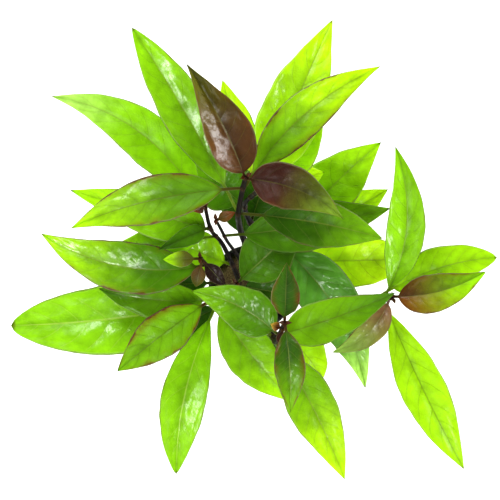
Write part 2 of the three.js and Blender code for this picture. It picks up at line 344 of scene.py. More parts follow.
def leaf_relief(nodes, size, along, across, half, veins, quilt):
    edge = abs(across)
    side = nodes.sum("SIGN", across)
    angle = (size["Fold"] + side * size["Roll"]) * math.radians(1)
    soft_edge = nodes.sum("SQRT", across * across + FOLD_SOFTNESS) - FOLD_SOFT_ROOT
    fold = soft_edge * half * nodes.sum("SINE", angle)
    crown = CROWN * half * edge * (1 - edge * edge)
    between = abs(nodes.sum("SINE", veins * math.pi)) ** PUCKER_CURVE
    inner = nodes.ease(edge, 0.0, 0.3) * nodes.ease(edge, 1.0, 0.7) * nodes.ease(along, 0.0, 0.15)
    pucker = size["Pucker"] * (between + quilt * 0.4) * inner * nodes.ease(along, 1.0, 0.8)
    turns = along * WAVES + side * SIDE_WAVE + size["Seed"] * SEED_WAVE
    growing = nodes.ease(along, 0.0, 0.2)
    wave = size["Wave"] * edge ** 4 * nodes.sum("SINE", turns * math.pi) * growing
    buckle = size["Buckle"] * leaf_noise(nodes, size, along, across, BUCKLE_SCALE) * growing
    sideways = across * half * nodes.sum("COSINE", angle)
    return sideways, fold + crown + pucker + wave + buckle


def leaf_thickness(nodes, along, across, half):
    edge = abs(across)
    blade = SKIN_HALF * nodes.sum("SQRT", 1 - edge ** 10)
    petiole = PETIOLE_DEPTH * nodes.sum("SQRT", 1 - edge * edge)
    rib = nodes.sum("EXPONENT", -1 * (across * half / RIB_HALF) ** 2)
    growing = nodes.ease(along, -0.02, 0.12)
    thin = petiole + (blade - petiole) * growing
    fade = 1 - along * 0.8
    return thin, rib * growing * nodes.sum("MAXIMUM", fade, 0.2)


print("a blade's skin is", 2 * SKIN_HALF, "mm thick")

# %% The blade's outline
PETIOLE_HALF = 0.8
CLOSE_LENGTH = 1.5
RAGGED_SHARE = 0.16


def leaf_half_width(nodes, size, blade, across):
    bend = nodes.sum("LOGARITHM", 0.5, size["Widest"])
    swell = nodes.sum("SINE", math.pi * blade ** bend) ** size["Point"]
    stalk = PETIOLE_HALF * (1 - blade)
    drift = leaf_noise(nodes, size, blade, nodes.sum("SIGN", across), 2.2)
    blade_half = size["Width"] / 2 * swell * (1 + RAGGED_SHARE * drift)
    return nodes.sum("SMOOTH_MAX", blade_half, stalk, 0.4)


def leaf_closing(nodes, from_foot, share, length):
    tip_end = nodes.sum("MINIMUM", (1 - share) * length / CLOSE_LENGTH, 1.0)
    foot_end = nodes.sum("MINIMUM", from_foot * length / CLOSE_LENGTH, 1.0)
    return nodes.sum("SQRT", nodes.sum("MAXIMUM", tip_end * foot_end, 0.0))


print("a leaf's ends close over", CLOSE_LENGTH, "mm")

# %% The leaf tree
ROUND = 64
EDGE_CROWDING = 1.35
RIB_GROOVE = 0.12
RIB_DEPTH = 0.45
SEAM_WELD = 1e-6


def leaf_tree():
    nodes, size = new_tree("leaf_from_petiole_to_tip", LEAF_SIZES)
    grid_sizes = {"Size X": 1.0, "Size Y": 1.0, "Vertices X": size["Rings"], "Vertices Y": ROUND + 1}
    grid = nodes.out("GeometryNodeMeshGrid", {}, grid_sizes)
    on_grid = nodes.out("GeometryNodeInputPosition")
    from_foot = nodes.part(on_grid, "X") + 0.5
    turn = nodes.part(on_grid, "Y") + 0.5
    length = nodes.vector("DISTANCE", {0: size["Start"], 1: size["Tip"]}, output=1)
    share = from_foot * (1 + size["Tuck"] / length) - size["Tuck"] / length
    blade_start = size["Petiole"] / length
    along = (share - blade_start) / (1 - blade_start)
    blade = nodes.sum("MINIMUM", nodes.sum("MAXIMUM", along, 0.0), 1.0)
    to_side = 1 - abs(4 * turn - 2)
    across = nodes.sum("SIGN", to_side) * abs(to_side) ** EDGE_CROWDING
    upper = nodes.sum("LESS_THAN", turn, 0.5)

    closing = leaf_closing(nodes, from_foot, share, length)
    half = leaf_half_width(nodes, size, blade, across) * closing
    place, sideways, above = leaf_line(nodes, size, share)
    veins = vein_count(nodes, size, blade, across)
    quilt = leaf_quilt(nodes, size, blade, across, half, length)
    step, rise = leaf_relief(nodes, size, blade, across, half, veins, quilt)
    skin, rib = leaf_thickness(nodes, along, across, half)
    top = rise + skin * closing - rib * RIB_GROOVE
    under = rise - skin * closing - rib * RIB_DEPTH * closing
    lift = under + (top - under) * upper
    spot = (place + sideways * step + above * lift) * MM

    shape = grid
    kept = {"along": along, "across": across, "upper": upper, "veins": veins}
    for name, value in kept.items():
        shape = nodes.store(shape, name, value)
    shape = nodes.out("GeometryNodeSetPosition", {}, {"Geometry": shape, "Position": spot})
    shape = nodes.out("GeometryNodeMergeByDistance", {}, {"Geometry": shape, "Distance": SEAM_WELD})
    return end_tree(nodes, nodes.smooth(shape), size["Finish"])


LEAF = leaf_tree()
print("the leaf tree has", len(LEAF.nodes), "nodes")


# %% [markdown]
# Each leaf starts at its stem, so the stems' lines have to be known first. A stem is a smooth
# curve through a few chosen points, a centripetal Catmull-Rom spline, which never loops between
# points that lie close together.

# %% The line of a stem
HALVINGS = 24
TOP_NARROWING = 0.62
JOINT_GAP = 0.75
NUDGE = 0.001


def spline_point(path, share):
    points = [Vector(point) for point in path]
    points = [2 * points[0] - points[1], *points, 2 * points[-1] - points[-2]]
    span = min(int(share * (len(path) - 1)), len(path) - 2)
    t = share * (len(path) - 1) - span
    a, b, c, d = points[span:span + 4]
    before, middle, after = ((q - p).length ** 0.5 for p, q in ((a, b), (b, c), (c, d)))
    leaving = (b - a) / before - (c - a) / (before + middle) + (c - b) / middle
    reaching = (c - b) / middle - (d - b) / (middle + after) + (d - c) / after
    leaving *= middle
    reaching *= middle
    bend = 3 * (c - b) - 2 * leaving - reaching
    turn = 2 * (b - c) + leaving + reaching
    return b + leaving * t + bend * t ** 2 + turn * t ** 3


def share_at_height(path, height):
    low = 0.0
    high = 1.0
    for _ in range(HALVINGS):
        middle = (low + high) / 2
        if spline_point(path, middle).z < height:
            low = middle
        else:
            high = middle
    return low


def stem_radius(stem, share):
    return stem["radius"] * (1 - (1 - TOP_NARROWING) * share)


def leaf_start(stem, leaf, gap):
    share = share_at_height(stem["path"], leaf["at"])
    centre = spline_point(stem["path"], share)
    tangent = spline_point(stem["path"], share + NUDGE) - spline_point(stem["path"], share - NUDGE)
    tangent.normalize()
    outward = Vector(leaf["tip"]) - centre
    outward.z = 0
    outward -= tangent * outward.dot(tangent)
    return centre + outward.normalized() * (stem_radius(stem, share) + gap)


print("a stem's line can be followed")


# %% [markdown]
# The leaves' finish is one material for every leaf. Each leaf carries its own tones as
# attributes: the colours of its blade and of its tip, where the one turns into the other, and
# how red its margin is. The veins follow the same sum as the pucker in the tree, so that a line
# lies in each groove. A waxy coat gives the wet gloss of a leaf grown in moist air. It could
# cover the whole blade, but a real leaf shines in one or two patches, where its skin faces a
# lamp, so the coat lies in soft patches, and each leaf says where they are.

# %% Colours, attributes and the ends of a finish
def paint(red, green, blue):
    shares = (red / 255, green / 255, blue / 255)
    linear = (c / 12.92 if c <= 0.04045 else ((c + 0.055) / 1.055) ** 2.4 for c in shares)
    return (*linear, 1.0)


def attribute(nodes, name, output="Fac"):
    return nodes.out("ShaderNodeAttribute", {"attribute_name": name}, {}, output)


def new_finish(name):
    material = bpy.data.materials.new(name)
    material.use_nodes = True
    material.node_tree.nodes.clear()
    return material, Nodes(material.node_tree)


def end_finish(nodes, sockets):
    shader = nodes.out("ShaderNodeBsdfPrincipled", {}, sockets)
    nodes.node("ShaderNodeOutputMaterial", {}, {"Surface": shader})


print("finishes can be started and ended")

# %% The leaf's colour
RIB_PALE = paint(214, 232, 120)
RIB_DARK = paint(60, 50, 10)
BLUSH_BROWN = paint(98, 56, 16)
MARGIN_BROWN = paint(84, 38, 16)
PETIOLE_BROWN = paint(66, 44, 18)
TIP_BROWN = paint(80, 60, 20)
UNDERSIDE = paint(190, 210, 150)
MIDRIB_HALF = 0.045
VEIN_HALF = 0.16
TURNED_AT = 1.05


def unveined_blade(nodes, along, edge, side, mottle, near):
    turned = nodes.ease(along + mottle * 0.2, attribute(nodes, "tip_from"), TURNED_AT)
    blade = nodes.mix(turned, attribute(nodes, "tone", "Color"), attribute(nodes, "tip_tone", "Color"))
    # One half of the blade is brightened and the other darkened by the half-blade setting: a painted
    # sheen on some leaves, and the blade's own two tones on others.
    light = 1 + (mottle - 0.5) * 0.9 + side * attribute(nodes, "half_shade") * 0.3
    # Painted shade darkens the blade around its vein grooves; the blade is also darker towards its
    # midrib.
    light = light - 0.06 * (1 - near) * nodes.ease(edge, 1.0, 0.6) - 0.16 * nodes.ease(edge, 0.4, 0.0)
    return nodes.vector("SCALE", {0: blade, "Scale": light})


def veined_blade(nodes, blade, edge, vein):
    midrib = nodes.ease(edge, MIDRIB_HALF, MIDRIB_HALF * 0.3)
    pale = nodes.mix(0.4, blade, RIB_PALE)
    dark = nodes.mix(0.55, blade, RIB_DARK)
    rib_tone = nodes.mix(attribute(nodes, "rib_light"), dark, pale)
    blade = nodes.mix(vein * 0.36, blade, rib_tone)
    return nodes.mix(midrib * 0.7, blade, rib_tone)


def blushed_blade(nodes, blade, along, edge, mottle):
    blush = attribute(nodes, "blush")
    ragged = edge + (mottle - 0.5) * 0.3
    margin = nodes.ease(ragged + blush * 0.06, 0.96, 1.04)
    tint = nodes.ease(ragged + blush * 0.4, 0.9, 1.5) * nodes.ease(mottle, 0.35, 0.65)
    petiole = nodes.ease(along, 0.06, -0.02)
    tip = nodes.ease(along + mottle * 0.03, 0.985, 1.0)
    blade = nodes.mix(tint * blush, blade, BLUSH_BROWN)
    blade = nodes.mix(margin * nodes.ease(blush, 0.1, 0.6), blade, MARGIN_BROWN)
    blade = nodes.mix(petiole * (0.35 + blush * 0.65), blade, PETIOLE_BROWN)
    return nodes.mix(tip * 0.6, blade, TIP_BROWN)


print("the leaf's brown margin is", [round(share, 3) for share in MARGIN_BROWN[:3]])

# %% The leaf's gloss, and the whole finish
MOTTLE_SCALE = 110
CELL_SCALE = 620
WRINKLE_SCALE = 260
PATCH_WIDTH = 0.6
VEIN_DEPTH = 0.0003


def gloss_patch(nodes, along, across, patch):
    ahead = (along - attribute(nodes, f"{patch}_along")) / attribute(nodes, "gloss_long")
    aside = (across - attribute(nodes, f"{patch}_across")) / PATCH_WIDTH
    return nodes.sum("EXPONENT", -1 * (ahead * ahead + aside * aside))


def waxy_coat(nodes, along, across, upper, place, mottle):
    patches = gloss_patch(nodes, along, across, "gloss") + gloss_patch(nodes, along, across, "second")
    fine = nodes.noise(place, WRINKLE_SCALE, 2.0)
    wrinkles = nodes.ease(abs(fine - 0.5), 0.0, 0.07)
    broken = nodes.ease(mottle, 0.25, 0.5) * (0.3 + 0.7 * wrinkles)
    return attribute(nodes, "shine") * upper * (0.04 + patches * broken)


def leaf_finish():
    material, nodes = new_finish("leaf")
    place = nodes.own_place()
    along = attribute(nodes, "along")
    across = attribute(nodes, "across")
    upper = attribute(nodes, "upper")
    edge = abs(across)
    side = nodes.sum("SIGN", across)
    mottle = nodes.noise(place, MOTTLE_SCALE, 4.0, 0.6)
    near = abs(nodes.sum("SINE", attribute(nodes, "veins") * math.pi))
    inner = nodes.ease(edge, 1.0, 0.75) * nodes.ease(along, 1.0, 0.85)
    vein = nodes.ease(near, VEIN_HALF, 0.0) * inner

    blade = unveined_blade(nodes, along, edge, side, mottle, near)
    blade = veined_blade(nodes, blade, edge, vein)
    blade = blushed_blade(nodes, blade, along, edge, mottle)
    below = nodes.mix(0.3, blade, UNDERSIDE)
    rough = 0.42 + (mottle - 0.5) * 0.2 + (1 - upper) * 0.2 + vein * 0.08
    network = nodes.ease(nodes.cells(place, CELL_SCALE), 0.0, 0.25)
    end_finish(nodes, {
        "Base Color": nodes.mix(upper, below, blade), "Roughness": rough,
        "Normal": nodes.bump(network * 0.35 - vein * 0.8, 0.5, VEIN_DEPTH),
        "IOR": 1.42, "Specular IOR Level": 0.12,
        "Coat Weight": waxy_coat(nodes, along, across, upper, place, mottle),
        "Coat Roughness": 0.2, "Coat IOR": 1.7,
    })
    return material


LEAF_FINISH = leaf_finish()
print("the leaf finish has", len(LEAF_FINISH.node_tree.nodes), "nodes")


# %% [markdown]
# Now the plan of the plant. A stem has its radius, the points of its line and its leaves from
# the tip down. A leaf has two tones, the height of its joint, the place of its tip, its full
# width and whatever bends it. The numbers in millimetres are the construction's own, so that
# every blade lies where its solid is. The tones are mixed one by one, and they hold light and
# shade as well as colour: young leaves are bronze, leaves in full light are painted lime, and
# those in the shade of others are painted deep green, which is painted shade. `COMMON` says what
# most leaves share, and a row names only what differs. Among its looks, `half_shade`
# brightens one half of the blade and darkens the other, a painted sheen on some leaves and the
# blade's own two tones on others, `rib_light` makes the veins paler, `tip_from` is the place
# where the tip's tone begins, and `gloss` and `second` place its one or two glossy patches.

# %% Tones
# LIME, SPRING, GREEN, MEADOW, DEEP and SHADE are one green at falling brightness: lit and shaded copies
# painted into the tone, brightest for leaves in full light and darkest, painted shade, for leaves in the
# shade of others.
LIME = paint(178, 226, 14)
SPRING = paint(154, 208, 12)
GREEN = paint(130, 188, 10)
MEADOW = paint(108, 158, 10)
DEEP = paint(76, 122, 8)
SHADE = paint(50, 86, 8)
BRONZE = paint(84, 54, 20)
PLUM = paint(60, 32, 22)
MAROON = paint(78, 36, 20)
MOSS = paint(104, 132, 34)
OLIVE = paint(84, 86, 20)
RUST = paint(112, 60, 24)
AMBER = paint(176, 146, 50)
INK = paint(34, 18, 14)
ROSE = paint(132, 80, 62)
# Painted light: the brightest lime, given to a leaf that lies in the shade of others, stands in for light
# shining through the leaves above it.
GLOW = paint(214, 255, 30)
# MINT and JADE are partly the leaf's own green and partly a painted sheen: the pale, bluish haze of
# reflected light.
MINT = paint(164, 210, 92)
FERN = paint(86, 131, 9)
JADE = paint(92, 148, 50)
SAGE = paint(128, 160, 66)
BARK = paint(84, 62, 20)
COPPER = paint(100, 58, 12)

print("the brightest tone is", [round(share, 2) for share in GLOW[:3]])

# %% What a leaf says of itself
NO_PATCH = -9.0
COMMON = {
    "petiole": 8, "widest": 0.42, "point": 1, "fold": 14, "roll": 0, "arch": 4, "sway": 0,
    "pairs": 8, "wave": 0.5, "pucker": 0.007, "buckle": 0.07, "rings": 120,
    "half_shade": 0.0, "rib_light": 0.3, "blush": 0.35, "shine": 0.5,
    "gloss_along": 0.5, "gloss_across": 0.0, "gloss_long": 0.24,
    "second_along": NO_PATCH, "second_across": 0.0, "tip_from": 0.35,
}
LOOKS = (
    "half_shade", "rib_light", "blush", "shine", "gloss_along", "gloss_across", "gloss_long",
    "second_along", "second_across", "tip_from",
)


def leaf(tone, tip_tone, at, tip, width, **bends):
    own = {"tone": tone, "tip_tone": tip_tone, "at": at, "tip": tip, "width": width}
    return {**COMMON, **own, **bends}


def bud_leaf(tone, tip_tone, at, tip, width, petiole=1):
    return leaf(tone, tip_tone, at, tip, width, petiole=petiole, arch=1, wave=0, rings=40)


PLANT = {}


def stem(name, radius, path, leaves, buds=()):
    PLANT[name] = {"radius": radius, "path": path, "leaves": leaves, "buds": buds}
    print(name, "stem:", len(leaves), "leaves")


print("the common leaf says", len(COMMON), "things")


# %% The tall stem at the back
stem(
    "tall", 1.9,
    [(2, 7, 33), (0, 14, 60), (-3, 24, 80), (-6, 32, 100), (-7, 37, 120), (-7, 41, 160),
     (-4.5, 53, 190), (-3, 58, 207)],
    [
        leaf(BRONZE, OLIVE, 205, (-32, 112, 220), 27, petiole=1, widest=0.31, point=1.2, fold=30,
             roll=6, sway=-2, rib_light=0.2, blush=0.7, shine=1.0, gloss_along=0.38,
             gloss_across=0.6, half_shade=0.9, gloss_long=0.34),
        leaf(PLUM, MOSS, 205, (45, 37, 203), 23, petiole=1, widest=0.31, point=1.15, arch=7, sway=4,
             rib_light=0.1, blush=0.5, shine=0.15, half_shade=-0.3),
        leaf(FERN, SPRING, 190, (-93, 33, 165), 25, widest=0.38, point=1.1, arch=7, sway=-4,
             blush=0.8, rib_light=0.1, shine=0.4, gloss_along=0.6, gloss_across=-0.6),
        leaf(MEADOW, LIME, 190, (64, 113, 195), 22.5, petiole=6, point=1.1, arch=5, sway=7,
             half_shade=0.4, blush=0.8, rib_light=0.2, shine=0.35, gloss_across=0.5),
        leaf(MEADOW, GREEN, 160, (-61, 135, 172), 25, petiole=14, widest=0.46, point=0.85, sway=-2,
             shine=1.0, gloss_along=0.7, gloss_across=-0.65, blush=0.4, second_along=0.2,
             second_across=-0.45),
        leaf(SHADE, MEADOW, 160, (68, 28, 150), 26, petiole=10, arch=5, sway=2, shine=0.08),
    ],
)

# %% The back stem
stem(
    "back", 1.7,
    [(5, 12, 33), (4, 27, 75), (-4, 45, 112), (1, 51, 145), (5, 52, 176)],
    [
        leaf(SPRING, LIME, 173, (41, 139, 172), 32, petiole=6, widest=0.37, arch=5, sway=1,
             blush=0.1, shine=1.0, gloss_along=0.4, gloss_across=0.6, gloss_long=0.36),
        leaf(LIME, LIME, 163, (-15, 108, 177), 19, petiole=10, sway=0.5),
        leaf(GREEN, SPRING, 150, (37, 90, 158), 24, sway=-1),
        leaf(SPRING, LIME, 137, (38, 63, 141), 24, petiole=4, arch=3),
        leaf(DEEP, MEADOW, 114, (-28, 78, 120), 30, petiole=2, widest=0.36, arch=3, sway=3),
        leaf(SHADE, DEEP, 95, (13, 78, 92), 26, petiole=2, widest=0.34, arch=5),
    ],
)

# %% The middle stem, whose leaves reach to the right
stem(
    "middle", 1.7,
    [(11, 2, 33), (13, 10, 70), (16, 20, 95), (18, 25, 110)],
    [
        leaf(GREEN, SPRING, 107, (69, 79.5, 128), 32, sway=3, shine=0.2),
        leaf(GREEN, LIME, 102, (74, 55, 112), 26),
        leaf(JADE, MINT, 106, (62.5, -54.5, 95), 31, petiole=3, widest=0.32, arch=10, sway=7.5,
             shine=1.0, gloss_along=0.5, pucker=0.026, pairs=10, gloss_across=0.35, gloss_long=0.36,
             tip_from=0.6),
        leaf(GLOW, GLOW, 84, (90, 17, 102), 30, petiole=10, widest=0.5, arch=5),
    ],
)

# %% The left and thin stems
stem(
    "left", 1.4,
    [(-7, -2, 33), (-8.5, 8, 75), (-16.5, 26, 105), (-21.5, 32, 117), (-24.5, 45, 151)],
    [
        leaf(GREEN, MINT, 148, (-106, 103, 138), 27, widest=0.34, arch=8, sway=-12, shine=0.1,
             tip_from=0.62),
        leaf(DEEP, SHADE, 122.5, (-50, 22, 131), 11, petiole=2, widest=0.3, arch=2, rib_light=0.0,
             shine=0.2),
        leaf(MEADOW, SPRING, 119, (-97, 54, 130), 26, petiole=2, widest=0.32, arch=5),
        leaf(GREEN, SPRING, 112, (-78, 22, 103), 19, petiole=6, arch=5, shine=0.9),
        leaf(SPRING, GREEN, 86, (-51, 30, 94), 24, petiole=3, arch=2, shine=0.9),
    ],
    [bud_leaf(PLUM, RUST, 150, (-31, 42, 158), 6)],
)
stem(
    "thin", 1.1,
    [(-3, 4, 33), (-5, 10, 60), (-8, 19, 90), (-13.5, 27, 110), (-16.5, 33, 125), (-19, 38, 146)],
    [
        leaf(DEEP, MEADOW, 116, (73, 44, 140), 28, petiole=10, arch=5, sway=-2, shine=0.2),
        leaf(SHADE, DEEP, 64, (-4, 70, 80), 26, petiole=20, arch=3),
    ],
    [bud_leaf(BARK, RUST, 144, (-8.3, 41.8, 149), 6)],
)

# %% The short and young stems
stem(
    "short", 1.5,
    [(-1, -3, 33), (-5, 0, 70), (-8, 3, 98), (-8.3, 4, 112)],
    [
        leaf(DEEP, SHADE, 108, (26, 36, 119), 29, petiole=2, widest=0.45, fold=6, arch=3,
             rib_light=0.4, shine=0.2),
        leaf(SHADE, DEEP, 90, (24, -3, 95), 21, petiole=2, arch=3, shine=0.2),
    ],
)
stem(
    "young", 1.6,
    [(-13, -4, 33), (-16, 2, 70), (-23, 12, 110), (-27.5, 18, 136)],
    [
        leaf(OLIVE, SPRING, 134, (-47, 17, 140), 9, petiole=2, arch=1, wave=0.2, shine=1.0),
        leaf(INK, INK, 134, (-14, 3, 130), 9, petiole=2, arch=1, wave=0.2, shine=0.35),
        leaf(DEEP, SPRING, 116, (-113, 31, 125), 29, petiole=4, arch=6, sway=9, blush=0.8,
             shine=1.0, gloss_along=0.5, gloss_across=0.1, pucker=0.011, widest=0.4,
             second_along=0.82, second_across=0.0),
        leaf(SHADE, DEEP, 78, (-66, 2, 80), 19, petiole=6),
    ],
    [bud_leaf(BARK, OLIVE, 130, (-30, 2, 122), 8, petiole=2)],
)

# %% The low stem, whose leaves reach to the left
stem(
    "low", 1.8,
    [(-8, -10, 33), (-14, -8, 70), (-19, -6.5, 95), (-21.5, -4, 119)],
    [
        leaf(MEADOW, MEADOW, 118, (-73, -44, 112), 25, petiole=5, arch=6, sway=-1, blush=1.0,
             shine=0.12, rib_light=0.05),
        leaf(MEADOW, SPRING, 118, (23, -61, 105), 28, petiole=6, arch=5, sway=-2, shine=0.25),
        leaf(MEADOW, DEEP, 108, (-84, 1, 103), 22, petiole=4, widest=0.38, sway=3, shine=1.0),
        leaf(GREEN, GREEN, 93, (-134, -20, 85), 40, petiole=10, point=0.6, arch=6, sway=2.5,
             shine=0.8, gloss_along=0.4, gloss_across=0.1, rib_light=0.8, pucker=0.01,
             gloss_long=0.2),
        leaf(GREEN, GREEN, 96, (-42, -103, 85), 26, widest=0.5, point=0.85, arch=6, sway=-5.5,
             shine=0.55, gloss_along=0.65, gloss_across=0.5, rib_light=0.9),
        leaf(SHADE, DEEP, 70, (-58, -29, 64), 18, petiole=5),
    ],
)

# %% The front stem
stem(
    "front", 1.9,
    [(3, -9, 33), (10, -17, 100), (12.5, -25, 155), (16.5, -14, 187)],
    [
        leaf(SHADE, SHADE, 186, (17, 16, 203), 15, petiole=2, arch=2, blush=1.0, rib_light=0.3,
             shine=0.12, half_shade=0.7),
        leaf(SHADE, MEADOW, 186, (19, -59, 188), 16, petiole=2, sway=1, blush=1.0, rib_light=0.5,
             shine=0.7, gloss_along=0.35, tip_from=0.3),
        leaf(DEEP, MEADOW, 170, (-31, 1, 168), 24, petiole=2, widest=0.32, sway=-4, shine=1.0,
             gloss_along=0.2, gloss_long=0.4, pucker=0.014),
        leaf(MEADOW, DEEP, 170, (74, 0, 158), 23, petiole=1, widest=0.3, arch=5, sway=-1,
             rib_light=0.1, shine=0.25),
        leaf(MEADOW, LIME, 150, (49, -99, 140), 26, petiole=6, widest=0.38, arch=5, sway=2,
             shine=0.25, rib_light=0.3, gloss_along=0.6),
        leaf(DEEP, DEEP, 138, (-12, -4, 130), 20, petiole=2, arch=3),
        leaf(SPRING, LIME, 120, (38, -50, 112), 24, petiole=4, widest=0.36, sway=4),
        leaf(SHADE, DEEP, 82, (19, -58, 74), 18, petiole=6),
    ],
    [
        bud_leaf(PLUM, PLUM, 180, (14, -26, 178), 5),
        bud_leaf(RUST, AMBER, 178, (9, -15, 182), 5),
    ],
)

# %% The right stem, which leans far out
stem(
    "right", 1.9,
    [(10, -6, 33), (18, -7, 60), (45, -5, 84), (64, -3.5, 110), (74, -3, 142)],
    [
        leaf(COPPER, GREEN, 140, (122, 11, 150), 21, petiole=2, widest=0.36, sway=-3.5, blush=1.0,
             rib_light=0.2, shine=0.3, gloss_along=0.0, half_shade=-1.0, tip_from=0.12),
        leaf(ROSE, SAGE, 140, (42, -32, 138), 15, petiole=2, sway=5, blush=0.6, rib_light=0.4,
             shine=1.0, gloss_along=0.22, widest=0.34, tip_from=-0.1, gloss_across=-0.3,
             gloss_long=0.3, roll=10),
        leaf(GREEN, GREEN, 132, (74.5, 76, 150), 21, petiole=3, arch=5, sway=-8, half_shade=0.5,
             shine=0.8, gloss_along=0.4, gloss_across=0.8, gloss_long=0.4, roll=-10),
        leaf(SPRING, SPRING, 125, (114, -96, 120), 25, petiole=6, widest=0.48, arch=5, sway=-1.5,
             rib_light=0.05, shine=0.3, gloss_along=0.85, blush=0.3, gloss_long=0.3),
        leaf(SPRING, SPRING, 118, (132, 18, 118), 24, point=0.7, sway=4.5, shine=0.2),
    ],
)


# %% [markdown]
# Growing a leaf means turning its row of the plan into the tree's inputs. The small numbers that
# give each leaf its own waves and veins come from its name's place in the plan, so the plant
# grows the same way every time.

# %% From a row of the plan to a leaf
SAME_NAMED = ("Width", "Petiole", "Widest", "Point", "Fold", "Roll", "Arch", "Sway", "Wave")


def leaf_sizes(stem_row, row, gap, seed):
    return {
        **{name: float(row[name.lower()]) for name in SAME_NAMED},
        "Rings": row["rings"], "Start": leaf_start(stem_row, row, gap), "Tip": row["tip"],
        "Vein pairs": float(row["pairs"]), "Pucker": row["pucker"] * row["width"],
        "Buckle": row["buckle"] * row["width"], "Seed": seed,
    }


def write_points(mesh, name, values, kind="FLOAT", key="value"):
    layer = mesh.attributes.new(name, kind, "POINT")
    layer.data.foreach_set(key, values)


def colour_leaf(mesh, row):
    for name in ("tone", "tip_tone"):
        write_points(mesh, name, row[name] * len(mesh.vertices), "FLOAT_COLOR", "color")
    for name in LOOKS:
        write_points(mesh, name, [row[name]] * len(mesh.vertices))


def grow_leaf(name, stem_row, row, gap, seed):
    piece = grow(name, LEAF, leaf_sizes(stem_row, row, gap, seed), LEAF_FINISH)
    colour_leaf(piece.data, row)
    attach(piece, "root")
    return piece


print("sizes that a row gives by the same name:", len(SAME_NAMED))

# %% Grow the leaves
LEAF_SEED = 0.37

grown = 0
for stem_name, stem_row in PLANT.items():
    for number, row in enumerate(stem_row["leaves"], 1):
        grown += 1
        node = f"{stem_name}_leaf_{number}"
        blade = grow_leaf(f"{node}_blade", stem_row, row, JOINT_GAP, grown * LEAF_SEED)
        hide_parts(node)
print("leaves grown:", grown)


# %% [markdown]
# A stem of this plant is nearly black, faintly four-sided, and swells a little at each joint. The
# line of the stem is worked out first, as a chain of points with a thickness each, and the tree
# only has to sweep a section along it. The end closes as a small dome. Deep in the wool the stem
# is simply cut, as the roots that it grows from can't be seen.

# %% The stem tree
STEM_SIZES = {"Sides": 28, "Corners": 0.07, "Ribs": 0.012}


def stem_tree():
    nodes, size = new_tree("stem_along_a_line", STEM_SIZES, takes_shape=True)
    line = nodes.out("GeometryNodeMeshToCurve", {}, {"Mesh": size["Geometry"]})
    thick = nodes.out("GeometryNodeInputNamedAttribute", {"data_type": "FLOAT"}, {"Name": "thick"})
    ring = nodes.out("GeometryNodeCurvePrimitiveCircle", {}, {"Resolution": size["Sides"], "Radius": 1.0})
    spot = nodes.out("GeometryNodeInputPosition")
    turn = nodes.sum("ARCTAN2", nodes.part(spot, "Y"), nodes.part(spot, "X"))
    corners = size["Corners"] * nodes.sum("COSINE", turn * 4)
    ribs = size["Ribs"] * nodes.sum("COSINE", turn * 14)
    ring = nodes.out("GeometryNodeSetPosition", {}, {
        "Geometry": ring, "Position": spot * (1 + corners + ribs),
    })
    swept = nodes.out("GeometryNodeCurveToMesh", {}, {
        "Curve": line, "Profile Curve": ring, "Scale": thick, "Fill Caps": True,
    })
    return end_tree(nodes, nodes.smooth(swept), size["Finish"])


STEM = stem_tree()
print("the stem tree has", len(STEM.nodes), "nodes")

# %% A stem's line, with a thickness at each point
STEM_STEPS = 110
JOINT_SWELL = 0.3
JOINT_HALF = 1.6
DOME_SHARE = 0.02
DOME_END = 0.0004


def stem_line(name, row):
    joints = [share_at_height(row["path"], leaf["at"]) for leaf in row["leaves"]]
    centres = [spline_point(row["path"], step / STEM_STEPS) for step in range(STEM_STEPS + 1)]
    joint_places = [spline_point(row["path"], joint) for joint in joints]
    thick = []
    near = []
    for step, centre in enumerate(centres):
        share = step / STEM_STEPS
        closest = min((centre - place).length for place in joint_places)
        closeness = math.exp(-(closest / JOINT_HALF) ** 2)
        left = max(0.0, share - (1 - DOME_SHARE)) / DOME_SHARE
        dome = math.sqrt(max(1 - left ** 2, DOME_END))
        thick.append(stem_radius(row, share) * MM * (1 + JOINT_SWELL * closeness) * dome)
        near.append(closeness)
    mesh = bpy.data.meshes.new(name)
    mesh.from_pydata([centre * MM for centre in centres],
                     [(step, step + 1) for step in range(STEM_STEPS)], [])
    write_points(mesh, "thick", thick)
    write_points(mesh, "joint", near)
    return mesh


print("a stem's line has", STEM_STEPS + 1, "points")


# %% [markdown]
# The bark is a purple-black with a faint green under it. It gets greener low down, and a pale
# ring marks each joint, where the pair of petioles clasps the stem. Streaks run along the stem
# because the noise is read in a space that is squeezed in height.

# %% The stem finish
STREAK_SCALE = 900
STREAK_SQUEEZE = (1.0, 1.0, 0.12)
BARK_MOTTLE = 120
BARK_DEPTH = 0.0003
GREEN_FROM = 0.12
GREEN_BELOW = 0.04
PURPLE = paint(14, 8, 10)
BROWN = paint(32, 20, 12)
FOOT_OLIVE = paint(66, 64, 24)
JOINT_RING = paint(84, 56, 34)


def stem_finish():
    material, nodes = new_finish("stem")
    place = nodes.own_place()
    streak_at = nodes.vector("MULTIPLY", {0: place, 1: STREAK_SQUEEZE})
    streaks = nodes.noise(streak_at, STREAK_SCALE, 4.0)
    mottle = nodes.noise(place, BARK_MOTTLE, 3.0)
    height = nodes.part(place, "Z")
    joint = attribute(nodes, "joint")
    low = nodes.ease(height + mottle * 0.05, GREEN_FROM, GREEN_BELOW)
    bark = nodes.mix(nodes.ease(streaks, 0.4, 0.7), PURPLE, BROWN)
    bark = nodes.mix(low * 0.6, bark, FOOT_OLIVE)
    bark = nodes.mix(joint * 0.45, bark, JOINT_RING)
    bump = nodes.bump(streaks + mottle * 0.5, 0.3, BARK_DEPTH)
    end_finish(nodes, {
        "Base Color": bark, "Roughness": 0.4 + streaks * 0.3, "Normal": bump, "Specular IOR Level": 0.08,
    })
    return material


STEM_FINISH = stem_finish()
print("the stem finish has", len(STEM_FINISH.node_tree.nodes), "nodes")

